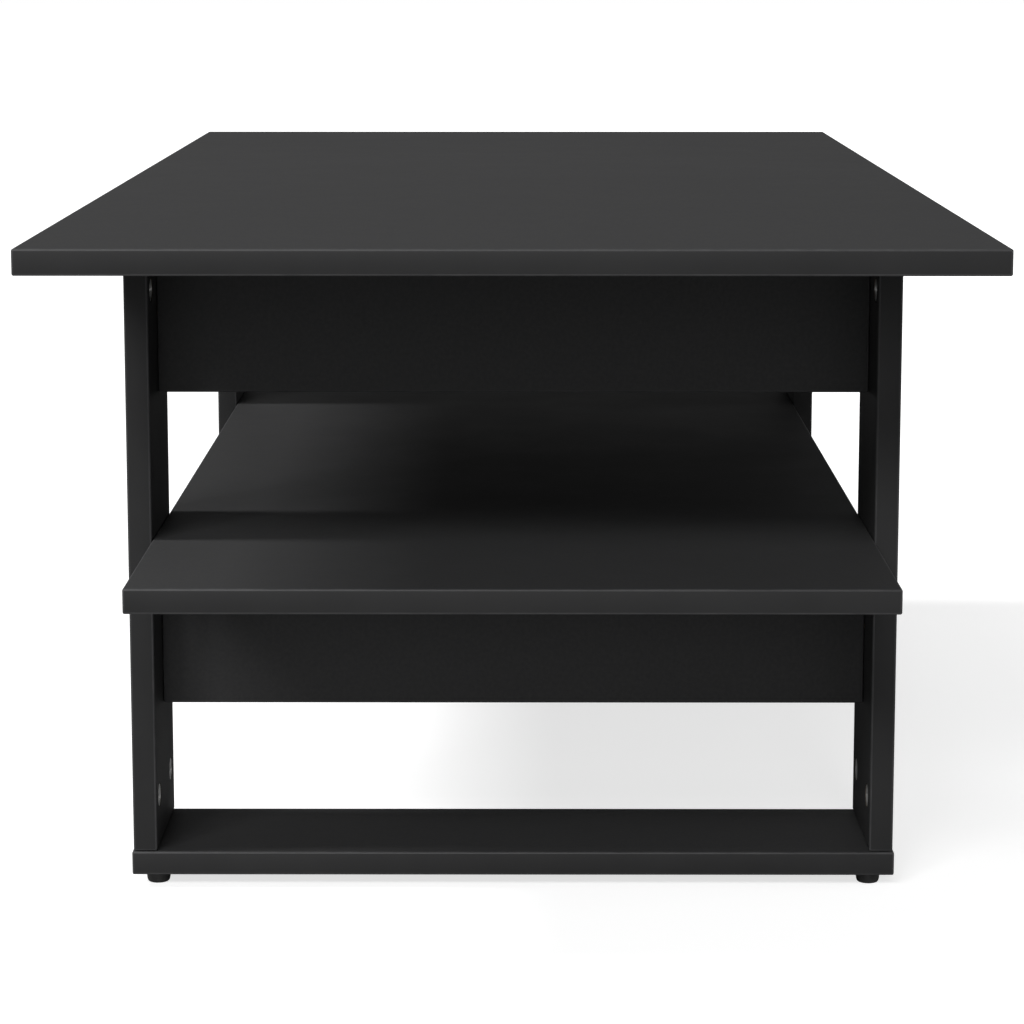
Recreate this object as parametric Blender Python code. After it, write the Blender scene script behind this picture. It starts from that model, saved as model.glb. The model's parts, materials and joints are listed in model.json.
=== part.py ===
"""Coffee table with a long open shelf, made of flat boards held by cam locks and dowels.

Metres, +Z up. The origin is on the floor under the middle of the table. The length runs
along Y: the near end is at -Y and the far end at +Y. Left is -X and right is +X.
"""
import math

import bmesh
import bpy
from mathutils import Matrix, Vector

MM = 0.001
GAP = 0.3 * MM                  # left between two boards that touch

# Whole table
TOP_WIDTH = 550 * MM
TOP_LENGTH = 1100 * MM
HEIGHT = 425 * MM
BOARD = 15 * MM                 # thickness of every board
ARRIS = 1.2 * MM                # rounding along every board's edges
ARRIS_STEPS = 2

# The two frames
FRAME_WIDTH = 480 * MM          # over the outer faces of the legs
FRAME_REACH = 344 * MM          # from the middle of the table to a leg's outward edge
LEG_DEPTH = 100 * MM
APRON_HEIGHT = 100 * MM
APRON_SETBACK = 45 * MM         # from a leg's outward edge to the apron's face
FOOT_LIP = 1 * MM               # how far a foot board stands proud of the legs

# Shelf
SHELF_LENGTH = 990 * MM
SHELF_TOP = 223.5 * MM

# Glides
GLIDE_HEIGHT = 8 * MM
GLIDE_RADIUS = 7.5 * MM
GLIDE_TAPER = 0.8 * MM          # how much narrower the sole is
GLIDE_CHAMFER = 0.6 * MM        # round the sole
GLIDE_INSET_X = 14 * MM         # from the legs' outer faces
GLIDE_INSET_Y = 14.4 * MM       # from a leg's outward edge
PEG_RADIUS = 2.0 * MM
PEG_LENGTH = 6 * MM

# Cam locks, turned from "locked" (the stored pose) to "open" about their own axis
CAM_RADIUS = 7.3 * MM
CAM_HEIGHT = 12.0 * MM
CAM_RECESS = 0.2 * MM           # how deep the cam's face sits below the board's face
CAM_BORE_RADIUS = 7.6 * MM
CAM_BORE_DEPTH = 12.6 * MM
CAM_CAVITY_RADIUS = 5.4 * MM
CAM_CAVITY_HALF = 3.3 * MM
CAM_SLOT_HALF = 1.95 * MM
CAM_TURN = math.radians(200)
CAM_SLOT_MARGIN = math.radians(20)
CAM_BACKSET = 32 * MM           # from the end of a board to its cam's axis
CAM_EDGE = 18 * MM              # from a leg's edge to the nearer cam's axis
CAM_SPACING = 64 * MM           # between the two cams of one leg end
CAM_ENTRY_START = 2 * MM        # from the cam's axis to the inner end of its entry hole
CROSS_LENGTH = 8 * MM           # the cross recess that a screwdriver turns
CROSS_WIDTH = 1.4 * MM
CROSS_DEPTH = 2.4 * MM

# Cam bolts, each screwed into one board with its head on the axis of a cam in the next
BOLT_THREAD_LENGTH = 11 * MM
BOLT_THREAD_RADIUS = 2.9 * MM
BOLT_POINT_LENGTH = 1.6 * MM
BOLT_POINT_RADIUS = 1.7 * MM
BOLT_COLLAR_RADIUS = 3.6 * MM
BOLT_COLLAR_HEIGHT = 3 * MM     # above the face that the bolt is screwed into
BOLT_SHANK_RADIUS = 2.4 * MM
BOLT_NECK_RADIUS = 1.6 * MM
BOLT_NECK_START = 7.8 * MM      # from the middle of the head back to the shank
BOLT_NECK_TAPER = 0.4 * MM      # length of the step from the shank to the neck
BOLT_HEAD_RADIUS = 3.0 * MM
BOLT_HEAD_HALF = 2.4 * MM       # half the head's length
BOLT_HEAD_TAPER = 0.6 * MM      # length of the cone under the head
BOLT_CROWN_RADIUS = 2.0 * MM
PILOT_RADIUS = 3.3 * MM
PILOT_DEPTH = 11.6 * MM
EDGE_BORE_RADIUS = 4.2 * MM

# Dowels
DOWEL_RADIUS = 4.0 * MM
DOWEL_IN_LEG = 10 * MM
DOWEL_IN_BOARD = 20 * MM
DOWEL_CHAMFER = 0.8 * MM
DOWEL_BORE_RADIUS = 4.5 * MM
DOWEL_BORE_EXTRA = 0.5 * MM

ROUND_SIDES = 20                # cam locks, their bores and the glides
SMALL_SIDES = 8                 # bolts, dowels and their bores
CAVITY_SIDES = 12               # the cavity inside a cam lock
SLOT_STEPS = 8                  # along the slot of a cam lock
OVERRUN = 1 * MM                # how far a cutter starts outside the face it cuts
SHARP_ANGLE = math.radians(40)  # edges of round pieces that are sharper than this show

# Levels and planes that follow from the sizes above
FOOT_TOP = GLIDE_HEIGHT + BOARD
TOP_UNDERSIDE = HEIGHT - BOARD
SHELF_UNDERSIDE = SHELF_TOP - BOARD
LEG_OUTER = FRAME_WIDTH / 2
LEG_INNER = LEG_OUTER - BOARD
LEG_MIDDLE = LEG_OUTER - BOARD / 2
LEG_REACH_IN = FRAME_REACH - LEG_DEPTH
APRON_OUT = FRAME_REACH - APRON_SETBACK
APRON_IN = APRON_OUT - BOARD
APRON_MIDDLE = APRON_OUT - BOARD / 2
UPPER_APRON_MIDDLE = TOP_UNDERSIDE - APRON_HEIGHT / 2
LOWER_APRON_MIDDLE = SHELF_UNDERSIDE - APRON_HEIGHT / 2
SHELF_MIDDLE = SHELF_UNDERSIDE + BOARD / 2
CAM_OUTER_Y = FRAME_REACH - CAM_EDGE
CAM_INNER_Y = CAM_OUTER_Y - CAM_SPACING
LEG_CENTRE_Y = FRAME_REACH - LEG_DEPTH / 2

ENDS = (("near", -1), ("far", 1))
SIDES = (("left", -1), ("right", 1))
X = Vector((1, 0, 0))
Y = Vector((0, 1, 0))
Z = Vector((0, 0, 1))


# Materials ---------------------------------------------------------------------------

def material(name, colour, roughness, metallic=0.0):
    made = bpy.data.materials.new(name)
    made.use_nodes = True
    shader = made.node_tree.nodes["Principled BSDF"]
    shader.inputs["Base Color"].default_value = (*colour, 1.0)
    shader.inputs["Roughness"].default_value = roughness
    shader.inputs["Metallic"].default_value = metallic
    return made


# Meshes ------------------------------------------------------------------------------

def turned(bm, profile, sides, place):
    """Adds a closed round solid; profile lists (height, radius) from its lowest ring up."""
    rings = []
    for height, radius in profile:
        ring = []
        for i in range(sides):
            angle = 2 * math.pi * i / sides
            point = Vector((radius * math.cos(angle), radius * math.sin(angle), height))
            ring.append(bm.verts.new(place @ point))
        rings.append(ring)
    bm.faces.new(reversed(rings[0]))
    bm.faces.new(rings[-1])
    for lower, upper in zip(rings, rings[1:]):
        for i in range(sides):
            j = (i + 1) % sides
            bm.faces.new((lower[i], lower[j], upper[j], upper[i]))


def box(bm, low, high):
    """Adds a closed box between two corners."""
    size = high - low
    place = Matrix.Translation((low + high) / 2) @ Matrix.Diagonal((*size, 1))
    bmesh.ops.create_cube(bm, size=1, matrix=place)


def sector(bm, radius, half_height, middle, start, end, steps):
    """Adds a wedge of a disc about the Z axis, between two angles."""
    points = [Vector((0, 0, 0))]
    for i in range(steps + 1):
        angle = start + (end - start) * i / steps
        points.append(Vector((radius * math.cos(angle), radius * math.sin(angle), 0)))
    low = [bm.verts.new(p + Z * (middle - half_height)) for p in points]
    high = [bm.verts.new(p + Z * (middle + half_height)) for p in points]
    for i in range(1, len(points) - 1):
        bm.faces.new((low[0], low[i + 1], low[i]))
        bm.faces.new((high[0], high[i], high[i + 1]))
    for i in range(len(points)):
        j = (i + 1) % len(points)
        bm.faces.new((low[i], low[j], high[j], high[i]))


def axes(origin, along_x, along_z):
    """The placement whose local X and Z axes point along two given directions."""
    along_y = along_z.cross(along_x)
    turn = Matrix((along_x, along_y, along_z)).transposed()
    return Matrix.Translation(origin) @ turn.to_4x4()


def facing(origin, direction):
    """The placement whose local Z axis points along a direction."""
    return Matrix.Translation(origin) @ direction.to_track_quat("Z", "Y").to_matrix().to_4x4()


def mesh_from(bm, name, finish=None, is_round=False):
    mesh = bpy.data.meshes.new(name)
    bm.to_mesh(mesh)
    bm.free()
    if is_round:
        mesh.shade_smooth()
        mesh.set_sharp_from_angle(angle=SHARP_ANGLE)
    if finish:
        mesh.materials.append(finish)
    return mesh


def add_object(name, mesh, place=Matrix.Identity(4)):
    made = bpy.data.objects.new(name, mesh)
    bpy.context.scene.collection.objects.link(made)
    made.matrix_world = place
    return made


def cutter(name, bm):
    made = add_object(name, mesh_from(bm, name))
    made.hide_render = True
    made.display_type = "WIRE"
    return made


def cut(target, tool):
    boolean = target.modifiers.new(tool.name, "BOOLEAN")
    boolean.operation = "DIFFERENCE"
    boolean.solver = "EXACT"
    boolean.object = tool


# Bores -------------------------------------------------------------------------------

def bore(mouth, into, radius, depth, sides=SMALL_SIDES):
    return {"mouth": mouth, "into": into, "radius": radius, "depth": depth, "sides": sides}


def cam_bore(mouth, into):
    return bore(mouth, into, CAM_BORE_RADIUS, CAM_BORE_DEPTH, ROUND_SIDES)


def pilot(mouth, into):
    return bore(mouth, into, PILOT_RADIUS, PILOT_DEPTH)


def edge_bore(mouth, into):
    return bore(mouth, into, EDGE_BORE_RADIUS, CAM_BACKSET)


def dowel_bore(mouth, into, depth):
    return bore(mouth, into, DOWEL_BORE_RADIUS, depth + DOWEL_BORE_EXTRA)


def bore_cutter(name, bores):
    bm = bmesh.new()
    for b in bores:
        profile = ((-OVERRUN, b["radius"]), (b["depth"], b["radius"]))
        turned(bm, profile, b["sides"], facing(b["mouth"], b["into"]))
    return cutter(name, bm)


# Boards ------------------------------------------------------------------------------

def board(name, low, high, finish, face_bores=(), edge_bores=()):
    """A board between two corners. Bores in a face are cut before those in its ends."""
    low = Vector(low)
    high = Vector(high)
    middle = (low + high) / 2
    bm = bmesh.new()
    box(bm, low - middle, high - middle)
    made = add_object(name, mesh_from(bm, name, finish), Matrix.Translation(middle))
    arris = made.modifiers.new("arris", "BEVEL")
    arris.width = ARRIS
    arris.segments = ARRIS_STEPS
    arris.limit_method = "NONE"
    for kind, bores in (("face_bores", face_bores), ("edge_bores", edge_bores)):
        if bores:
            cut(made, bore_cutter(f"{name}_{kind}", bores))


def leg_places():
    """Each leg's name, its end's sign along Y and its side's sign along X."""
    for end, e in ENDS:
        for side, s in SIDES:
            yield f"{end}_{side}", e, s


def cam_rows(e):
    """The name and the Y position of the two cam rows of one end's legs."""
    yield "outer", e * CAM_OUTER_Y
    yield "inner", e * CAM_INNER_Y


def add_table_top(finish):
    bores = []
    for _leg, e, s in leg_places():
        for _row, y in cam_rows(e):
            bores.append(pilot(Vector((s * LEG_MIDDLE, y, TOP_UNDERSIDE)), Z))
    low = (-TOP_WIDTH / 2, -TOP_LENGTH / 2, TOP_UNDERSIDE)
    high = (TOP_WIDTH / 2, TOP_LENGTH / 2, HEIGHT)
    board("table_top", low, high, finish, bores)


def dowel_mouths(e, s):
    """What each dowel of one leg holds, and where it crosses the leg's inner face."""
    yield "upper_apron", Vector((s * LEG_INNER, e * APRON_MIDDLE, UPPER_APRON_MIDDLE))
    yield "lower_apron", Vector((s * LEG_INNER, e * APRON_MIDDLE, LOWER_APRON_MIDDLE))
    yield "shelf", Vector((s * LEG_INNER, e * LEG_CENTRE_Y, SHELF_MIDDLE))


def add_legs(finish):
    for leg, e, s in leg_places():
        outward = X * s
        face = []
        edge = []
        for _row, y in cam_rows(e):
            face.append(cam_bore(Vector((s * LEG_INNER, y, FOOT_TOP + CAM_BACKSET)), outward))
            face.append(cam_bore(Vector((s * LEG_INNER, y, TOP_UNDERSIDE - CAM_BACKSET)), outward))
            edge.append(edge_bore(Vector((s * LEG_MIDDLE, y, FOOT_TOP)), Z))
            edge.append(edge_bore(Vector((s * LEG_MIDDLE, y, TOP_UNDERSIDE)), -Z))
        for _held, mouth in dowel_mouths(e, s):
            face.append(dowel_bore(mouth, outward, DOWEL_IN_LEG))
        x = sorted((s * LEG_INNER, s * LEG_OUTER))
        y = sorted((e * LEG_REACH_IN, e * FRAME_REACH))
        low = (x[0], y[0], FOOT_TOP + GAP)
        high = (x[1], y[1], TOP_UNDERSIDE - GAP)
        board(f"leg_{leg}", low, high, finish, face, edge)


def end_bores(held, signs):
    """The dowel bores in the two ends of a board that is held between the legs."""
    for e in signs:
        for _side, s in SIDES:
            for kind, mouth in dowel_mouths(e, s):
                if kind == held:
                    yield dowel_bore(mouth, X * -s, DOWEL_IN_BOARD)


def add_aprons(finish):
    for kind, ceiling in (("upper_apron", TOP_UNDERSIDE), ("lower_apron", SHELF_UNDERSIDE)):
        for end, e in ENDS:
            y = sorted((e * APRON_IN, e * APRON_OUT))
            low = (-LEG_INNER + GAP, y[0], ceiling - APRON_HEIGHT)
            high = (LEG_INNER - GAP, y[1], ceiling - GAP)
            board(f"{kind}_{end}", low, high, finish, edge_bores=list(end_bores(kind, (e,))))


def add_shelf(finish):
    low = (-LEG_INNER + GAP, -SHELF_LENGTH / 2, SHELF_UNDERSIDE)
    high = (LEG_INNER - GAP, SHELF_LENGTH / 2, SHELF_TOP)
    board("shelf", low, high, finish, edge_bores=list(end_bores("shelf", (-1, 1))))


def glide_place(e, s):
    """Where the middle of a glide meets the underside of its foot board."""
    return Vector((s * (LEG_OUTER - GLIDE_INSET_X), e * (FRAME_REACH - GLIDE_INSET_Y), GLIDE_HEIGHT))


def add_foot_boards(finish):
    for end, e in ENDS:
        face = []
        for _side, s in SIDES:
            for _row, y in cam_rows(e):
                face.append(pilot(Vector((s * LEG_MIDDLE, y, FOOT_TOP)), -Z))
            face.append(bore(glide_place(e, s), Z, PEG_RADIUS + GAP, PEG_LENGTH + GAP))
        y = sorted((e * (LEG_REACH_IN - FOOT_LIP), e * (FRAME_REACH + FOOT_LIP)))
        low = (-LEG_OUTER - FOOT_LIP, y[0], GLIDE_HEIGHT)
        high = (LEG_OUTER + FOOT_LIP, y[1], FOOT_TOP)
        board(f"foot_board_{end}", low, high, finish, face)


# Hardware ----------------------------------------------------------------------------

def add_glides(finish):
    """Turned plastic glides, each with the peg that holds it in its foot board."""
    bm = bmesh.new()
    sole = GLIDE_RADIUS - GLIDE_TAPER
    profile = (
        (-GLIDE_HEIGHT, sole - GLIDE_CHAMFER),
        (-GLIDE_HEIGHT + GLIDE_CHAMFER, sole),
        (-GAP, GLIDE_RADIUS),
        (-GAP, PEG_RADIUS),
        (PEG_LENGTH, PEG_RADIUS),
    )
    turned(bm, profile, ROUND_SIDES, Matrix.Identity(4))
    mesh = mesh_from(bm, "glide", finish, is_round=True)
    for leg, e, s in leg_places():
        add_object(f"glide_{leg}", mesh, Matrix.Translation(glide_place(e, s)))


def cam_mesh(finish):
    """One cam lock about its own Z axis, its face at the origin and its bolt along +X.

    The bolt's neck runs in the slot and its head in the round cavity while the cam turns;
    the head enters through the hole at the open end of the slot.
    """
    bolt_depth = -(BOARD / 2 - CAM_RECESS)
    bm = bmesh.new()
    turned(bm, ((-CAM_HEIGHT, CAM_RADIUS), (0, CAM_RADIUS)), ROUND_SIDES, Matrix.Identity(4))
    blank = add_object("cam_blank", mesh_from(bm, "cam_blank", finish, is_round=True))

    bm = bmesh.new()
    floor = bolt_depth - CAM_CAVITY_HALF
    roof = bolt_depth + CAM_CAVITY_HALF
    cavity = ((floor, CAM_CAVITY_RADIUS), (roof, CAM_CAVITY_RADIUS))
    turned(bm, cavity, CAVITY_SIDES, Matrix.Identity(4))
    for across in (X, Y):
        along = X + Y - across
        reach = across * CROSS_LENGTH / 2 + along * CROSS_WIDTH / 2
        box(bm, -reach - Z * CROSS_DEPTH, reach + Z * OVERRUN)
    cavity_tool = cutter("cam_cavity", bm)

    bm = bmesh.new()
    start = -CAM_TURN - CAM_SLOT_MARGIN
    sector(bm, CAM_RADIUS + OVERRUN, CAM_SLOT_HALF, bolt_depth, start, CAM_SLOT_MARGIN, SLOT_STEPS)
    slot_tool = cutter("cam_slot", bm)

    bm = bmesh.new()
    direction = Vector((math.cos(-CAM_TURN), math.sin(-CAM_TURN), 0))
    entry = ((CAM_ENTRY_START, CAM_CAVITY_HALF), (CAM_RADIUS + OVERRUN, CAM_CAVITY_HALF))
    turned(bm, entry, SMALL_SIDES, facing(Z * bolt_depth, direction))
    entry_tool = cutter("cam_entry", bm)

    tools = (cavity_tool, slot_tool, entry_tool)
    for tool in tools:
        cut(blank, tool)
        blank.modifiers[tool.name].use_self = True
    shape = blank.evaluated_get(bpy.context.evaluated_depsgraph_get())
    mesh = bpy.data.meshes.new_from_object(shape)
    mesh.name = "cam"
    for piece in (blank, *tools):
        bpy.data.objects.remove(piece)
    return mesh


def add_cams(finish):
    """The cam locks in the legs' inner faces, each with local +X towards its bolt's board."""
    mesh = cam_mesh(finish)
    for leg, e, s in leg_places():
        x = s * (LEG_INNER + CAM_RECESS)
        for row, y in cam_rows(e):
            low = Vector((x, y, FOOT_TOP + CAM_BACKSET))
            high = Vector((x, y, TOP_UNDERSIDE - CAM_BACKSET))
            add_object(f"cam_foot_{leg}_{row}", mesh, axes(low, -Z, X * -s))
            add_object(f"cam_top_{leg}_{row}", mesh, axes(high, Z, X * -s))


def add_bolts(finish):
    """The cam bolts. Each stands on the board it is screwed into, its head in its cam."""
    bm = bmesh.new()
    head = CAM_BACKSET
    profile = (
        (-BOLT_THREAD_LENGTH, BOLT_POINT_RADIUS),
        (-BOLT_THREAD_LENGTH + BOLT_POINT_LENGTH, BOLT_THREAD_RADIUS),
        (GAP, BOLT_THREAD_RADIUS),
        (GAP, BOLT_COLLAR_RADIUS),
        (BOLT_COLLAR_HEIGHT, BOLT_COLLAR_RADIUS),
        (BOLT_COLLAR_HEIGHT, BOLT_SHANK_RADIUS),
        (head - BOLT_NECK_START, BOLT_SHANK_RADIUS),
        (head - BOLT_NECK_START + BOLT_NECK_TAPER, BOLT_NECK_RADIUS),
        (head - BOLT_HEAD_HALF, BOLT_NECK_RADIUS),
        (head - BOLT_HEAD_HALF + BOLT_HEAD_TAPER, BOLT_HEAD_RADIUS),
        (head + BOLT_HEAD_HALF, BOLT_CROWN_RADIUS),
    )
    turned(bm, profile, SMALL_SIDES, Matrix.Identity(4))
    mesh = mesh_from(bm, "bolt", finish, is_round=True)
    for leg, e, s in leg_places():
        for row, y in cam_rows(e):
            foot = Vector((s * LEG_MIDDLE, y, FOOT_TOP))
            top = Vector((s * LEG_MIDDLE, y, TOP_UNDERSIDE))
            add_object(f"bolt_foot_{leg}_{row}", mesh, facing(foot, Z))
            add_object(f"bolt_top_{leg}_{row}", mesh, facing(top, -Z))


def add_dowels(finish):
    bm = bmesh.new()
    profile = (
        (-DOWEL_IN_BOARD, DOWEL_RADIUS - DOWEL_CHAMFER),
        (-DOWEL_IN_BOARD + DOWEL_CHAMFER, DOWEL_RADIUS),
        (DOWEL_IN_LEG - DOWEL_CHAMFER, DOWEL_RADIUS),
        (DOWEL_IN_LEG, DOWEL_RADIUS - DOWEL_CHAMFER),
    )
    turned(bm, profile, SMALL_SIDES, Matrix.Identity(4))
    mesh = mesh_from(bm, "dowel", finish, is_round=True)
    for leg, e, s in leg_places():
        for held, mouth in dowel_mouths(e, s):
            add_object(f"dowel_{held}_{leg}", mesh, facing(mouth, X * s))


def main():
    for old in list(bpy.data.objects):
        bpy.data.objects.remove(old)
    melamine = material("black_melamine", (0.021, 0.021, 0.022), 0.42)
    plastic = material("black_plastic", (0.018, 0.018, 0.018), 0.5)
    zinc = material("cam_zinc", (0.50, 0.50, 0.49), 0.38, 1.0)
    steel = material("bolt_steel", (0.56, 0.55, 0.53), 0.3, 1.0)
    beech = material("beech", (0.60, 0.42, 0.25), 0.6)
    add_table_top(melamine)
    add_legs(melamine)
    add_aprons(melamine)
    add_shelf(melamine)
    add_foot_boards(melamine)
    add_glides(plastic)
    add_cams(zinc)
    add_bolts(steel)
    add_dowels(beech)


main()
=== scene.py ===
"""Looks for the coffee table: boards with rounded arrises and edge bands, cam locks, bolts,
dowels and glides, on a pale studio floor in soft light. Metres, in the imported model's frame.
"""
import json
import math

import bmesh
import bpy
from mathutils import Matrix, Vector


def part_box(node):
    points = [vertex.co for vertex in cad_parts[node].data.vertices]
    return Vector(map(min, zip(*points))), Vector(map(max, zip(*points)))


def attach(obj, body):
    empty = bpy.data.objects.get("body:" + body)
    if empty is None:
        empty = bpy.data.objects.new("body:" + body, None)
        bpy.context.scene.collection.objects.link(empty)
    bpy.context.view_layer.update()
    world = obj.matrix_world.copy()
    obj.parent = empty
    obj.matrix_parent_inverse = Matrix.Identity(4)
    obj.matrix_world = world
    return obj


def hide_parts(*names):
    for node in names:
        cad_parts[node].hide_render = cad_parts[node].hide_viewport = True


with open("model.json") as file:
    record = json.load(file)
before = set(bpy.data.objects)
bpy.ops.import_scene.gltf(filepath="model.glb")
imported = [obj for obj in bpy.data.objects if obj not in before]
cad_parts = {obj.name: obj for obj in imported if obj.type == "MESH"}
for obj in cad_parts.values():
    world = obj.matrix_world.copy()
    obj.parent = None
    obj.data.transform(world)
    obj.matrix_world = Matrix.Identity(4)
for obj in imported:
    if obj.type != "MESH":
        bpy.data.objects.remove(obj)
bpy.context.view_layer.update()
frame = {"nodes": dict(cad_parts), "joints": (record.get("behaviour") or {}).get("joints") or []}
nodes = frame["nodes"]

MM = 0.001

# Round pieces and cuts
ROUND_SIDES = 64
BORE_SIDES = 48
ROUND_SHARP = 35                # an edge that turns by more degrees than this stays sharp
OVERRUN = 1 * MM                # how far a cutter runs past the surface it cuts
WELD = 0.01 * MM                # points nearer than this after a cut are merged

# Boards
ARRIS = 1.2 * MM
ARRIS_STEPS = 4
BOARD_SHARP = 30
FLAT = 0.9999                   # a face whose normal has this along one axis isn't in an arris
BORE_CLEARANCE = 0.3 * MM
FACE_SLOT, EDGE_SLOT, ARRIS_SLOT = range(3)

# Cam locks
CAM_CHAMFER = 0.5 * MM
CAM_RIM_HEIGHT = 0.6 * MM
CAM_RIM_ROUND = 0.18 * MM       # depth of the rim's outer rounding
CAM_RIM_INSET = 0.12 * MM
CAM_DISH_EDGE = 1.3 * MM        # from the lock's side to the dish
CAM_DISH_DEPTH = 0.35 * MM
CAM_DISH_SLOPE = 0.3 * MM
CAM_DISH_MIDDLE = 0.2 * MM

# The cross recess, from its tip up: height from the lock's face, half length, half width
CROSS_RINGS = (
    (-3.2 * MM, 2.0 * MM, 0.55 * MM),
    (-0.5 * MM, 3.85 * MM, 0.82 * MM),
    (-0.35 * MM, 4.05 * MM, 1.0 * MM),
    (1 * MM, 4.3 * MM, 1.25 * MM),
)

# The cavity, slot and entry hole that let a lock turn round its bolt's head
CAM_CAVITY_RADIUS = 5.4 * MM
CAM_CAVITY_HALF = 3.3 * MM
CAM_SLOT_HALF = 1.95 * MM
CAM_SLOT_STEPS = 48
CAM_TURN = math.radians(200)
CAM_SLOT_MARGIN = math.radians(20)
CAM_ENTRY_START = 2 * MM

# Bolts, along their own axis from the face that they are screwed into
BOLT_SIDES = 32
BOLT_THREAD_LENGTH = 11 * MM
BOLT_THREAD_RADIUS = 2.9 * MM
BOLT_THREAD_DEPTH = 0.55 * MM
BOLT_THREAD_PITCH = 1.8 * MM
BOLT_THREAD_STEEPNESS = 3
BOLT_STEPS_PER_TURN = 8
BOLT_POINT_LENGTH = 2.6 * MM
BOLT_POINT_RADIUS = 1.2 * MM
BOLT_COLLAR_RADIUS = 3.6 * MM
BOLT_COLLAR_HEIGHT = 3 * MM
BOLT_COLLAR_FOOT_CHAMFER = 0.2 * MM
BOLT_COLLAR_CHAMFER = 0.3 * MM
BOLT_SHANK_RADIUS = 2.4 * MM
BOLT_NECK_RADIUS = 1.6 * MM
BOLT_HEAD_RADIUS = 3.0 * MM
BOLT_HEAD_HALF = 2.4 * MM
BOLT_HEAD_TAPER = 0.6 * MM      # length of the cone under the head
BOLT_NECK_START = 7.8 * MM      # from the middle of the head back to the shank
BOLT_NECK_TAPER = 0.4 * MM
BOLT_CROWN_START = 0.4 * MM
BOLT_CROWN_BEND = 1.6 * MM
BOLT_CROWN_INSET = 0.3 * MM
BOLT_CROWN_RADIUS = 2.0 * MM
BOLT_GAP = 0.3 * MM             # between the collar and the face

# Dowels
DOWEL_FLUTES = 16
DOWEL_SIDES_PER_FLUTE = 6
DOWEL_FLUTE_DEPTH = 0.35 * MM
DOWEL_CHAMFER = 0.8 * MM

# Glides
GLIDE_HEIGHT = 8 * MM           # the part of a glide that shows under its foot board
GLIDE_SOLE_INSET = 1.4 * MM     # how much narrower the sole is than the rim
GLIDE_FOOT_HEIGHT = 4.2 * MM    # the rounded foot, up from the sole
GLIDE_FOOT_STEPS = 8
GLIDE_RIM = ((0.9 * MM, 0), (0.5 * MM, 0.2 * MM), (0.3 * MM, 0.5 * MM))  # down from the top, inset
GLIDE_TOP_GAP = 0.3 * MM
GLIDE_PEG_RADIUS = 2.0 * MM
GLIDE_PEG_CHAMFER = 0.6 * MM

# Nodes by the start of their names
BOARD_KINDS = ("table_top", "shelf", "leg_", "upper_apron", "lower_apron", "foot_board")
HARDWARE_KINDS = ("cam_", "bolt_", "dowel_", "glide_")

# Camera
CAMERA_PLACE = (0.0054, -2.2629, 0.5891)
CAMERA_YAW = math.radians(0.18)
CAMERA_PITCH = math.radians(8.777)
CAMERA_LENS = 110.22
CAMERA_SENSOR = 36
CAMERA_SHIFT_Y = -0.08
CAMERA_NEAR = 0.05
CAMERA_FAR = 100

# Studio
FLOOR_HALF = 30.0
FLOOR_DROP = 0.3 * MM
FLOOR_ALBEDO = 0.5
FLOOR_IN_GLOSS = 0.25           # its albedo in reflections, so that the black boards stay dark
FLOOR_GLOW = 0.70               # seen by the camera only, so that the sweep reads white
BACKDROP = 1.0
AMBIENT = 0.15
LIGHT_DISTANCE = 3.0            # where a light's object stands; its light comes from far away

# Each light's name, bearing from +X, height above the floor and spread, in degrees, and strength.
# Lights side by side stand for one long softbox.
LIGHTS = (
    ("key_low", 180, 43, 8, 0.96),
    ("key_middle", 180, 50, 8, 1.04),
    ("key_high", 180, 57, 8, 0.85),
    ("fill_low", -92, 15, 18, 0.45),
    ("fill_front", -92, 34, 12, 0.80),
    ("fill_middle", -108, 34, 12, 0.86),
    ("fill_corner", -124, 34, 12, 0.76),
    ("rim_right", 5, 16, 24, 0.45),
)


# Materials ---------------------------------------------------------------------------

class Nodes:
    """A new material's node tree, with short calls for the nodes used here."""

    def __init__(self, name):
        self.material = bpy.data.materials.new(name)
        self.material.use_nodes = True
        self.tree = self.material.node_tree
        self.shader = self.tree.nodes["Principled BSDF"]

    def add(self, kind, **settings):
        node = self.tree.nodes.new(kind)
        for name, value in settings.items():
            if name in node.inputs:
                node.inputs[name].default_value = value
            else:
                setattr(node, name, value)
        return node

    def link(self, output, socket):
        self.tree.links.new(output, socket)

    def noise(self, place, scale, detail=2.0, roughness=0.5, stretch=None):
        """Noise in the object's own space, per metre, stretched along an axis if asked."""
        if stretch:
            mapping = self.add("ShaderNodeMapping")
            mapping.inputs["Scale"].default_value = stretch
            self.link(place, mapping.inputs["Vector"])
            place = mapping.outputs["Vector"]
        noise = self.add("ShaderNodeTexNoise")
        noise.inputs["Scale"].default_value = scale
        noise.inputs["Detail"].default_value = detail
        noise.inputs["Roughness"].default_value = roughness
        self.link(place, noise.inputs["Vector"])
        return noise.outputs["Fac"]

    def ramp(self, value, low, high, start=0.3, end=0.7):
        """A value or a grey colour that runs from low to high."""
        made = self.add("ShaderNodeMapRange")
        made.inputs["From Min"].default_value = start
        made.inputs["From Max"].default_value = end
        made.inputs["To Min"].default_value = low
        made.inputs["To Max"].default_value = high
        self.link(value, made.inputs["Value"])
        return made.outputs["Result"]

    def mix_colours(self, factor, first, second):
        made = self.add("ShaderNodeMix", data_type="RGBA")
        made.inputs["A"].default_value = (*first, 1.0)
        made.inputs["B"].default_value = (*second, 1.0)
        self.link(factor, made.inputs["Factor"])
        return made.outputs["Result"]

    def bump(self, height, strength, distance, below=None):
        made = self.add("ShaderNodeBump")
        made.inputs["Strength"].default_value = strength
        made.inputs["Distance"].default_value = distance
        self.link(height, made.inputs["Height"])
        if below:
            self.link(below, made.inputs["Normal"])
        return made.outputs["Normal"]


def object_space(made):
    return made.add("ShaderNodeTexCoord").outputs["Object"]


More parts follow.
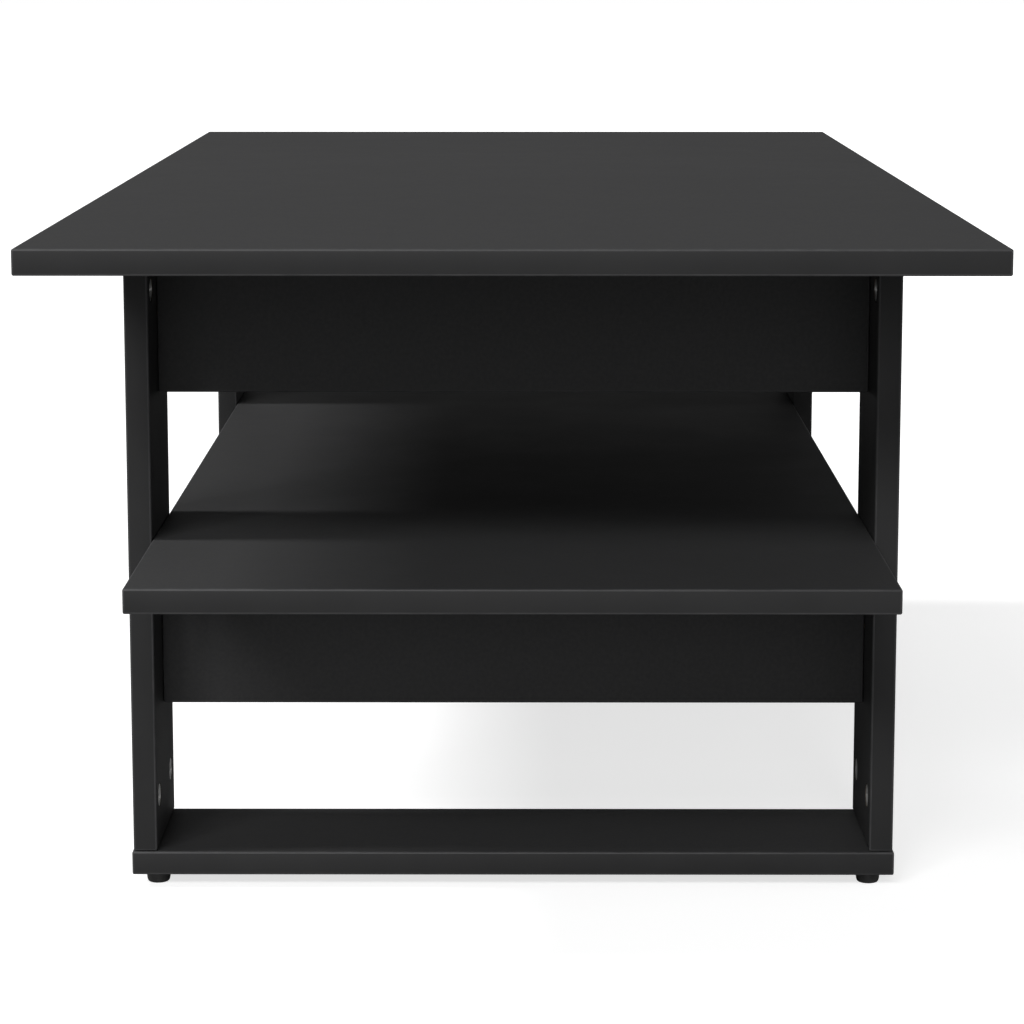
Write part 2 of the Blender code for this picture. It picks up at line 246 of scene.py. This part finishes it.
def melamine():
    """Black melamine: a fine pebbled press-plate texture, with faint marks of handling."""
    made = Nodes("black_melamine")
    place = object_space(made)
    pebble = made.noise(place, 1400, 3.0, 0.55)
    cloud = made.noise(place, 9, 4.0, 0.6)
    fleck = made.noise(place, 420, 2.0, 0.5)
    colour = made.mix_colours(made.ramp(fleck, 0, 1), (0.0275, 0.0275, 0.0280), (0.0325, 0.0325, 0.0330))
    made.link(colour, made.shader.inputs["Base Color"])
    made.link(made.ramp(cloud, 0.56, 0.64), made.shader.inputs["Roughness"])
    made.link(made.bump(pebble, 0.12, 0.06 * MM), made.shader.inputs["Normal"])
    made.shader.inputs["Specular IOR Level"].default_value = 0.12
    return made.material


def edge_band():
    """Black plastic edge band: smoother than the faces, with faint lines along it, and a darker black
    than the faces' that is painted shade on the banded edges.
    """
    made = Nodes("black_edge_band")
    place = object_space(made)
    line = made.noise(place, 900, 2.0, 0.5, stretch=(0.06, 0.06, 1.0))
    cloud = made.noise(place, 14, 3.0, 0.6)
    # darker than the melamine faces: painted shade on the edges, varied at random
    colour = made.mix_colours(made.ramp(cloud, 0, 1), (0.0175, 0.0175, 0.0179), (0.0205, 0.0205, 0.0209))
    made.link(colour, made.shader.inputs["Base Color"])
    made.link(made.ramp(cloud, 0.48, 0.56), made.shader.inputs["Roughness"])
    made.link(made.bump(line, 0.10, 0.05 * MM), made.shader.inputs["Normal"])
    made.shader.inputs["Specular IOR Level"].default_value = 0.16
    return made.material


def painted_highlight_arris():
    """Where the band is trimmed and buffed round: a little shinier than the rest, and a paler grey that
    is a painted highlight along the arrises.
    """
    made = Nodes("black_edge_arris")
    place = object_space(made)
    wear_and_highlight = made.noise(place, 60, 4.0, 0.65)
    # paler than the edge band: a painted highlight on the arrises, mottled at random
    colour = made.mix_colours(made.ramp(wear_and_highlight, 0, 1), (0.030, 0.030, 0.031), (0.044, 0.044, 0.045))
    made.link(colour, made.shader.inputs["Base Color"])
    made.link(made.ramp(wear_and_highlight, 0.46, 0.58), made.shader.inputs["Roughness"])
    made.shader.inputs["Specular IOR Level"].default_value = 0.20
    return made.material


def chipboard():
    """The raw core, stained dark, that shows only inside the bores."""
    made = Nodes("chipboard_core")
    place = object_space(made)
    chips = made.add("ShaderNodeTexVoronoi")
    chips.inputs["Scale"].default_value = 700
    made.link(place, chips.inputs["Vector"])
    colour = made.mix_colours(chips.outputs["Distance"], (0.075, 0.055, 0.038), (0.035, 0.027, 0.020))
    made.link(colour, made.shader.inputs["Base Color"])
    made.shader.inputs["Roughness"].default_value = 0.9
    made.link(made.bump(chips.outputs["Distance"], 0.5, 0.3 * MM), made.shader.inputs["Normal"])
    return made.material


def moulded_plastic():
    made = Nodes("black_plastic")
    place = object_space(made)
    grain = made.noise(place, 2200, 2.0, 0.6)
    cloud = made.noise(place, 120, 2.0, 0.5)
    colour = made.mix_colours(made.ramp(cloud, 0, 1), (0.013, 0.013, 0.013), (0.020, 0.020, 0.020))
    made.link(colour, made.shader.inputs["Base Color"])
    made.link(made.ramp(cloud, 0.38, 0.52), made.shader.inputs["Roughness"])
    made.link(made.bump(grain, 0.25, 0.05 * MM), made.shader.inputs["Normal"])
    return made.material


def cast_zinc():
    """Die-cast zinc: satin, a little mottled, with fine casting grain."""
    made = Nodes("cam_zinc")
    place = object_space(made)
    mottle = made.noise(place, 260, 3.0, 0.6)
    grain = made.noise(place, 3000, 2.0, 0.6)
    colour = made.mix_colours(made.ramp(mottle, 0, 1), (0.66, 0.66, 0.65), (0.82, 0.82, 0.81))
    made.link(colour, made.shader.inputs["Base Color"])
    made.shader.inputs["Metallic"].default_value = 1.0
    made.link(made.ramp(mottle, 0.34, 0.50), made.shader.inputs["Roughness"])
    made.link(made.bump(grain, 0.3, 0.03 * MM), made.shader.inputs["Normal"])
    return made.material


def plated_steel():
    made = Nodes("bolt_steel")
    place = object_space(made)
    lines = made.noise(place, 1600, 2.0, 0.5)
    made.shader.inputs["Base Color"].default_value = (0.56, 0.55, 0.52, 1.0)
    made.shader.inputs["Metallic"].default_value = 1.0
    made.link(made.ramp(lines, 0.22, 0.38), made.shader.inputs["Roughness"])
    made.link(made.bump(lines, 0.2, 0.02 * MM), made.shader.inputs["Normal"])
    return made.material


def beech():
    made = Nodes("beech_dowel")
    place = object_space(made)
    grain = made.noise(place, 1500, 3.0, 0.6, stretch=(1.0, 1.0, 0.05))
    colour = made.mix_colours(made.ramp(grain, 0, 1), (0.42, 0.27, 0.14), (0.58, 0.40, 0.24))
    made.link(colour, made.shader.inputs["Base Color"])
    made.shader.inputs["Roughness"].default_value = 0.7
    made.link(made.bump(grain, 0.3, 0.1 * MM), made.shader.inputs["Normal"])
    return made.material


MELAMINE = melamine()
EDGE_BAND = edge_band()
ARRIS_BAND = painted_highlight_arris()
CORE = chipboard()
PLASTIC = moulded_plastic()
ZINC = cast_zinc()
STEEL = plated_steel()
BEECH = beech()


# Meshes ------------------------------------------------------------------------------

def loft(bm, rings):
    """Adds a closed solid through rings of points, from its lowest ring up."""
    made = [[bm.verts.new(point) for point in ring] for ring in rings]
    bm.faces.new(reversed(made[0]))
    bm.faces.new(made[-1])
    for lower, upper in zip(made, made[1:]):
        for i in range(len(lower)):
            j = (i + 1) % len(lower)
            bm.faces.new((lower[i], lower[j], upper[j], upper[i]))


def ring_at(height, sides, radius_at):
    """A ring of points about Z whose radius depends on the part of a turn, from 0 to 1."""
    ring = []
    for i in range(sides):
        part = i / sides
        angle = 2 * math.pi * part
        radius = radius_at(part)
        ring.append(Vector((radius * math.cos(angle), radius * math.sin(angle), height)))
    return ring


def round_ring(height, sides, radius):
    return ring_at(height, sides, lambda part: radius)


def turned(profile, sides):
    """The rings of a round solid; profile lists (height, radius) from its lowest ring up."""
    return [round_ring(height, sides, radius) for height, radius in profile]


def placed(place, rings):
    return [[place @ point for point in ring] for ring in rings]


def lofted(rings):
    bm = bmesh.new()
    loft(bm, rings)
    return bm


def new_object(name, bm, *materials):
    mesh = bpy.data.meshes.new(name)
    bm.to_mesh(mesh)
    bm.free()
    for material in materials:
        mesh.materials.append(material)
    made = bpy.data.objects.new(name, mesh)
    bpy.context.scene.collection.objects.link(made)
    return made


def subtract(made, name, bm, material):
    """Adds a cut, by a tool in the piece's own space. The tool is returned, to be removed later."""
    tool = new_object(name, bm, material)
    tool.matrix_world = made.matrix_world
    boolean = made.modifiers.new(name, "BOOLEAN")
    boolean.operation = "DIFFERENCE"
    boolean.solver = "EXACT"
    boolean.use_self = True
    boolean.object = tool
    return tool


def apply_cuts(made, tools):
    """Applies the piece's modifiers and removes the tools."""
    bpy.context.view_layer.update()
    shape = made.evaluated_get(bpy.context.evaluated_depsgraph_get())
    mesh = bpy.data.meshes.new_from_object(shape)
    old = made.data
    made.modifiers.clear()
    made.data = mesh
    bpy.data.meshes.remove(old)
    mesh.name = made.name
    for tool in tools:
        bpy.data.objects.remove(tool)


def weld(made):
    """Merges the points that a cut has left closer together than a mesh file can tell apart."""
    bm = bmesh.new()
    bm.from_mesh(made.data)
    bmesh.ops.remove_doubles(bm, verts=bm.verts, dist=WELD)
    bmesh.ops.dissolve_degenerate(bm, dist=WELD, edges=bm.edges)
    bm.to_mesh(made.data)
    bm.free()


def shade(made, degrees=ROUND_SHARP):
    made.data.shade_smooth()
    made.data.set_sharp_from_angle(angle=math.radians(degrees))


def facing(origin, direction):
    """The placement whose local Z axis points along a direction."""
    return Matrix.Translation(origin) @ direction.to_track_quat("Z", "Y").to_matrix().to_4x4()


def axes(origin, along_x, along_z):
    """The placement whose local X and Z axes point along two given directions."""
    along_y = along_z.cross(along_x)
    turn = Matrix((along_x, along_y, along_z)).transposed()
    return Matrix.Translation(origin) @ turn.to_4x4()


def stand_in(made, node, body="table"):
    """Hides the CAD node that a piece replaces, and puts the piece on the body that it rides on."""
    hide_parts(node)
    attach(made, body)


def place_copy(name, mesh, place):
    made = bpy.data.objects.new(name, mesh)
    bpy.context.scene.collection.objects.link(made)
    made.matrix_world = place
    return made


def nodes_of(*kinds):
    return [node for node in sorted(nodes) if node.startswith(kinds)]


# Boards ------------------------------------------------------------------------------

def long_axis(size):
    return max(range(3), key=lambda axis: size[axis])


def short_axis(size):
    return min(range(3), key=lambda axis: size[axis])


def along(axis):
    return Vector([1.0 if i == axis else 0.0 for i in range(3)])


def bore_for(name):
    """The axis, radius, start and end of the round bore that holds a piece of hardware."""
    low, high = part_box(name)
    size = high - low
    if name.startswith("cam_"):
        axis = short_axis(size)
        radius = max(size) / 2
    elif name.startswith("glide_"):
        axis = 2
        radius = GLIDE_PEG_RADIUS
    else:
        axis = long_axis(size)
        radius = sorted(size)[1] / 2
    start = low[axis] - BORE_CLEARANCE
    end = high[axis] + BORE_CLEARANCE
    if name.startswith("cam_"):
        if low[axis] > 0:
            start -= OVERRUN
        else:
            end += OVERRUN
    return axis, radius + BORE_CLEARANCE, start, end


def hardware_bores(low, high):
    """The rings of a cutter for each cam, bolt, dowel and peg that sits in the board."""
    bores = []
    for name in nodes:
        if not name.startswith(HARDWARE_KINDS):
            continue
        a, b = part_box(name)
        if any(a[i] >= high[i] or b[i] <= low[i] for i in range(3)):
            continue
        axis, radius, start, end = bore_for(name)
        foot = (a + b) / 2
        foot[axis] = 0
        rings = turned(((start, radius), (end, radius)), BORE_SIDES)
        bores.append(placed(facing(foot, along(axis)), rings))
    return bores


def band_material(face, thin):
    """Which of the board's materials a face has, by the way it faces."""
    if max(abs(value) for value in face.normal) <= FLAT:
        return ARRIS_SLOT
    if abs(face.normal[thin]) < FLAT:
        return EDGE_SLOT
    return FACE_SLOT


def add_board(node):
    """A board the size of its CAD node: rounded arrises, banded edges and bored for hardware."""
    low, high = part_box(node)
    size = high - low
    middle = (low + high) / 2
    bm = bmesh.new()
    bmesh.ops.create_cube(bm, size=1, matrix=Matrix.Diagonal((*size, 1)))
    bmesh.ops.bevel(
        bm,
        geom=list(bm.edges),
        offset=ARRIS,
        offset_type="OFFSET",
        segments=ARRIS_STEPS,
        profile=0.5,
        affect="EDGES",
        clamp_overlap=True,
    )
    thin = short_axis(size)
    for face in bm.faces:
        face.material_index = band_material(face, thin)
    made = new_object(node + "_board", bm, MELAMINE, EDGE_BAND, ARRIS_BAND, CORE)
    made.location = middle
    bpy.context.view_layer.update()
    bores = hardware_bores(low, high)
    if bores:
        cutter = bmesh.new()
        for rings in bores:
            loft(cutter, placed(Matrix.Translation(-middle), rings))
        apply_cuts(made, [subtract(made, "bores", cutter, CORE)])
    shade(made, BOARD_SHARP)
    stand_in(made, node)


for node in nodes_of(*BOARD_KINDS):
    add_board(node)


# Cam locks ---------------------------------------------------------------------------

def cam_head(radius, depth):
    """The lock's outside: chamfered rim and shallow dish, with its face at the origin."""
    return lofted(turned((
        (-depth, radius - CAM_CHAMFER),
        (-depth + CAM_CHAMFER, radius),
        (-CAM_RIM_HEIGHT, radius),
        (-CAM_RIM_ROUND, radius - CAM_RIM_INSET),
        (0, radius - CAM_CHAMFER),
        (0, radius - CAM_DISH_EDGE),
        (-CAM_DISH_DEPTH, radius - CAM_DISH_EDGE - CAM_DISH_SLOPE),
        (-CAM_DISH_DEPTH, CAM_DISH_MIDDLE),
    ), ROUND_SIDES))


def cross_recess():
    """The tapered cross that a screwdriver fits."""
    bm = bmesh.new()
    for turn in (0, math.pi / 2):
        rings = []
        for height, half_length, half_width in CROSS_RINGS:
            corners = ((-1, -1), (1, -1), (1, 1), (-1, 1))
            rings.append([Vector((x * half_length, y * half_width, height)) for x, y in corners])
        loft(bm, placed(Matrix.Rotation(turn, 4, "Z"), rings))
    return bm


def cam_cavity(bolt_depth):
    """The round space that the bolt's head sits in."""
    floor = -bolt_depth - CAM_CAVITY_HALF
    roof = -bolt_depth + CAM_CAVITY_HALF
    return lofted(turned(((floor, CAM_CAVITY_RADIUS), (roof, CAM_CAVITY_RADIUS)), BORE_SIDES))


def cam_slot(radius, bolt_depth):
    """The wedge of a disc that the bolt's neck runs in as the lock turns."""
    start = -CAM_TURN - CAM_SLOT_MARGIN
    reach = radius + OVERRUN
    outline = [(0, 0)]
    for i in range(CAM_SLOT_STEPS + 1):
        angle = start + (CAM_SLOT_MARGIN - start) * i / CAM_SLOT_STEPS
        outline.append((reach * math.cos(angle), reach * math.sin(angle)))
    heights = (-bolt_depth - CAM_SLOT_HALF, -bolt_depth + CAM_SLOT_HALF)
    return lofted([[(x, y, height) for x, y in outline] for height in heights])


def cam_entry(radius, bolt_depth):
    """The hole that the bolt's head goes in by, at the open end of the slot."""
    direction = Vector((math.cos(CAM_TURN), -math.sin(CAM_TURN), 0))
    profile = ((CAM_ENTRY_START, CAM_CAVITY_HALF), (radius + OVERRUN, CAM_CAVITY_HALF))
    place = facing(Vector((0, 0, -bolt_depth)), direction)
    return lofted(placed(place, turned(profile, BORE_SIDES)))


def cam_mesh(radius, depth, bolt_depth):
    """A cam lock about its own Z axis, its face at the origin and its bolt along +X."""
    made = new_object("cam_shape", cam_head(radius, depth), ZINC)
    apply_cuts(made, [
        subtract(made, "cross", cross_recess(), ZINC),
        subtract(made, "cavity", cam_cavity(bolt_depth), ZINC),
        subtract(made, "slot", cam_slot(radius, bolt_depth), ZINC),
        subtract(made, "entry", cam_entry(radius, bolt_depth), ZINC),
    ])
    weld(made)
    shade(made)
    mesh = made.data
    bpy.data.objects.remove(made)
    return mesh


def add_cams():
    """The cam locks all share one mesh. Each turns with its own body."""
    joints = {joint["child"]: joint for joint in frame["joints"]}
    mesh = None
    for node in nodes_of("cam_"):
        low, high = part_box(node)
        out = Vector(joints[node]["axis"])
        middle = (low + high) / 2
        depth = high.x - low.x
        face = middle + out * depth / 2
        bolt_low, bolt_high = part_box(node.replace("cam_", "bolt_"))
        bolt_middle = (bolt_low + bolt_high) / 2
        if mesh is None:
            mesh = cam_mesh((high.z - low.z) / 2, depth, abs(face.x - bolt_middle.x))
        towards_bolt = Vector((0, 0, math.copysign(1, bolt_middle.z - middle.z)))
        made = place_copy(node + "_lock", mesh, axes(face, towards_bolt, out))
        stand_in(made, node, body=node)


add_cams()


# Glides ------------------------------------------------------------------------------

def glide_profile(radius, length):
    """From the sole up: a rounded foot, the rim under the foot board, then the peg."""
    sole = radius - GLIDE_SOLE_INSET
    profile = []
    for i in range(GLIDE_FOOT_STEPS + 1):
        angle = math.pi / 2 * i / GLIDE_FOOT_STEPS
        height = GLIDE_FOOT_HEIGHT * (1 - math.cos(angle))
        profile.append((height, sole + GLIDE_SOLE_INSET * math.sin(angle)))
    for drop, inset in GLIDE_RIM:
        profile.append((GLIDE_HEIGHT - drop, radius - inset))
    return profile + [
        (GLIDE_HEIGHT - GLIDE_TOP_GAP, GLIDE_PEG_RADIUS),
        (length - GLIDE_PEG_CHAMFER, GLIDE_PEG_RADIUS),
        (length, GLIDE_PEG_RADIUS - GLIDE_PEG_CHAMFER),
    ]


def add_glides():
    for node in nodes_of("glide_"):
        low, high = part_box(node)
        middle = (low + high) / 2
        profile = glide_profile((high.x - low.x) / 2, high.z - low.z)
        made = new_object(node + "_turned", lofted(turned(profile, ROUND_SIDES)), PLASTIC)
        made.location = (middle.x, middle.y, low.z)
        shade(made)
        stand_in(made, node)


add_glides()


# Hidden hardware ---------------------------------------------------------------------

def thread_ring(height):
    """One ring of a bolt's thread, whose crest runs round it as the height grows."""
    rise = min((height + BOLT_THREAD_LENGTH) / BOLT_POINT_LENGTH, 1)
    crest = BOLT_POINT_RADIUS + (BOLT_THREAD_RADIUS - BOLT_POINT_RADIUS) * rise

    def radius_at(part):
        phase = (height / BOLT_THREAD_PITCH - part) % 1
        return crest - BOLT_THREAD_DEPTH * min(abs(phase - 0.5) * BOLT_THREAD_STEEPNESS, 1)

    return ring_at(height, BOLT_SIDES, radius_at)


def bolt_mesh(head):
    """A cam bolt along its own Z axis; head is the height of the middle of its head."""
    steps = round(BOLT_THREAD_LENGTH / BOLT_THREAD_PITCH * BOLT_STEPS_PER_TURN)
    reach = BOLT_THREAD_LENGTH - BOLT_GAP
    thread = [thread_ring(-BOLT_THREAD_LENGTH + reach * step / steps) for step in range(steps + 1)]
    return lofted(thread + turned((
        (BOLT_GAP, BOLT_THREAD_RADIUS - BOLT_THREAD_DEPTH),
        (BOLT_GAP, BOLT_COLLAR_RADIUS - BOLT_COLLAR_FOOT_CHAMFER),
        (BOLT_GAP + BOLT_COLLAR_FOOT_CHAMFER, BOLT_COLLAR_RADIUS),
        (BOLT_COLLAR_HEIGHT - BOLT_COLLAR_CHAMFER, BOLT_COLLAR_RADIUS),
        (BOLT_COLLAR_HEIGHT, BOLT_COLLAR_RADIUS - BOLT_COLLAR_CHAMFER),
        (BOLT_COLLAR_HEIGHT, BOLT_SHANK_RADIUS),
        (head - BOLT_NECK_START, BOLT_SHANK_RADIUS),
        (head - BOLT_NECK_START + BOLT_NECK_TAPER, BOLT_NECK_RADIUS),
        (head - BOLT_HEAD_HALF, BOLT_NECK_RADIUS),
        (head - BOLT_HEAD_HALF + BOLT_HEAD_TAPER, BOLT_HEAD_RADIUS),
        (head + BOLT_CROWN_START, BOLT_HEAD_RADIUS),
        (head + BOLT_CROWN_BEND, BOLT_HEAD_RADIUS - BOLT_CROWN_INSET),
        (head + BOLT_HEAD_HALF, BOLT_CROWN_RADIUS),
    ), BOLT_SIDES))


def dowel_mesh(length, radius):
    """A fluted dowel with chamfered ends, along its own Z axis about its middle."""

    def fluted(part):
        return radius - DOWEL_FLUTE_DEPTH * max(0, math.cos(2 * math.pi * DOWEL_FLUTES * part)) ** 2

    sides = DOWEL_FLUTES * DOWEL_SIDES_PER_FLUTE
    half = length / 2
    return lofted((
        round_ring(-half, sides, radius - DOWEL_CHAMFER),
        ring_at(-half + DOWEL_CHAMFER, sides, fluted),
        ring_at(half - DOWEL_CHAMFER, sides, fluted),
        round_ring(half, sides, radius - DOWEL_CHAMFER),
    ))


def shared_mesh(name, bm, material):
    """A shaded mesh for several pieces to share."""
    made = new_object(name, bm, material)
    shade(made)
    mesh = made.data
    bpy.data.objects.remove(made)
    return mesh


def add_bolts():
    """Each bolt stands on its board and points at its cam lock."""
    mesh = None
    for node in nodes_of("bolt_"):
        low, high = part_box(node)
        middle = (low + high) / 2
        cam_low, cam_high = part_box(node.replace("bolt_", "cam_"))
        head = (cam_low.z + cam_high.z) / 2
        up = math.copysign(1, head - middle.z)
        thread_end = low.z if up > 0 else high.z
        face = thread_end + up * BOLT_THREAD_LENGTH
        if mesh is None:
            mesh = shared_mesh("bolt_shape", bolt_mesh(abs(head - face)), STEEL)
        place = facing(Vector((middle.x, middle.y, face)), Vector((0, 0, up)))
        stand_in(place_copy(node + "_threaded", mesh, place), node)


def add_dowels():
    """All the dowels are one size, so they share one mesh."""
    mesh = None
    for node in nodes_of("dowel_"):
        low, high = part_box(node)
        size = high - low
        axis = long_axis(size)
        if mesh is None:
            mesh = shared_mesh("dowel_shape", dowel_mesh(size[axis], min(size) / 2), BEECH)
        place = facing((low + high) / 2, along(axis))
        stand_in(place_copy(node + "_fluted", mesh, place), node)


add_bolts()
add_dowels()


# Studio ------------------------------------------------------------------------------

def add_floor():
    bm = bmesh.new()
    bmesh.ops.create_grid(bm, x_segments=1, y_segments=1, size=FLOOR_HALF)
    made = Nodes("studio_floor")
    made.shader.inputs["Roughness"].default_value = 0.8
    made.shader.inputs["Specular IOR Level"].default_value = 0.1
    path = made.add("ShaderNodeLightPath")
    plain = (FLOOR_ALBEDO, FLOOR_ALBEDO, FLOOR_ALBEDO)
    dimmed = (FLOOR_IN_GLOSS, FLOOR_IN_GLOSS, FLOOR_IN_GLOSS)
    colour = made.mix_colours(path.outputs["Is Glossy Ray"], plain, dimmed)
    made.link(colour, made.shader.inputs["Base Color"])
    glow = made.add("ShaderNodeMath", operation="MULTIPLY")
    glow.inputs[1].default_value = FLOOR_GLOW
    made.link(path.outputs["Is Camera Ray"], glow.inputs[0])
    made.shader.inputs["Emission Color"].default_value = (1.0, 1.0, 1.0, 1.0)
    made.link(glow.outputs["Value"], made.shader.inputs["Emission Strength"])
    floor = new_object("studio_floor", bm, made.material)
    floor.location.z = -FLOOR_DROP


def add_world():
    """A white backdrop to the eye, and a dimmer even light on the table."""
    world = bpy.data.worlds.new("studio")
    bpy.context.scene.world = world
    world.use_nodes = True
    tree = world.node_tree
    seen = tree.nodes["Background"]
    seen.inputs["Color"].default_value = (1, 1, 1, 1)
    seen.inputs["Strength"].default_value = BACKDROP
    lit = tree.nodes.new("ShaderNodeBackground")
    lit.inputs["Color"].default_value = (1, 1, 1, 1)
    lit.inputs["Strength"].default_value = AMBIENT
    path = tree.nodes.new("ShaderNodeLightPath")
    mix = tree.nodes.new("ShaderNodeMixShader")
    tree.links.new(path.outputs["Is Camera Ray"], mix.inputs["Fac"])
    tree.links.new(lit.outputs["Background"], mix.inputs[1])
    tree.links.new(seen.outputs["Background"], mix.inputs[2])
    tree.links.new(mix.outputs["Shader"], tree.nodes["World Output"].inputs["Surface"])


def add_light(name, bearing, height, spread, strength):
    """A distant soft light; its spread is how wide it looks from the table, in degrees."""
    light = bpy.data.lights.new(name, "SUN")
    light.energy = strength
    light.angle = math.radians(spread)
    made = bpy.data.objects.new(name, light)
    bpy.context.scene.collection.objects.link(made)
    turn = math.radians(bearing)
    rise = math.radians(height)
    source = Vector((math.cos(turn) * math.cos(rise), math.sin(turn) * math.cos(rise), math.sin(rise)))
    made.location = source * LIGHT_DISTANCE
    made.rotation_euler = (-source).to_track_quat("-Z", "Y").to_euler()


def add_camera():
    data = bpy.data.cameras.new("camera")
    data.lens = CAMERA_LENS
    data.sensor_width = CAMERA_SENSOR
    data.shift_y = CAMERA_SHIFT_Y
    data.clip_start = CAMERA_NEAR
    data.clip_end = CAMERA_FAR
    camera = bpy.data.objects.new("camera", data)
    bpy.context.scene.collection.objects.link(camera)
    camera.location = CAMERA_PLACE
    camera.rotation_euler = (math.pi / 2 - CAMERA_PITCH, 0, CAMERA_YAW)
    bpy.context.scene.camera = camera


add_floor()
add_world()
for light in LIGHTS:
    add_light(*light)
add_camera()
bpy.context.scene.view_settings.view_transform = "Standard"
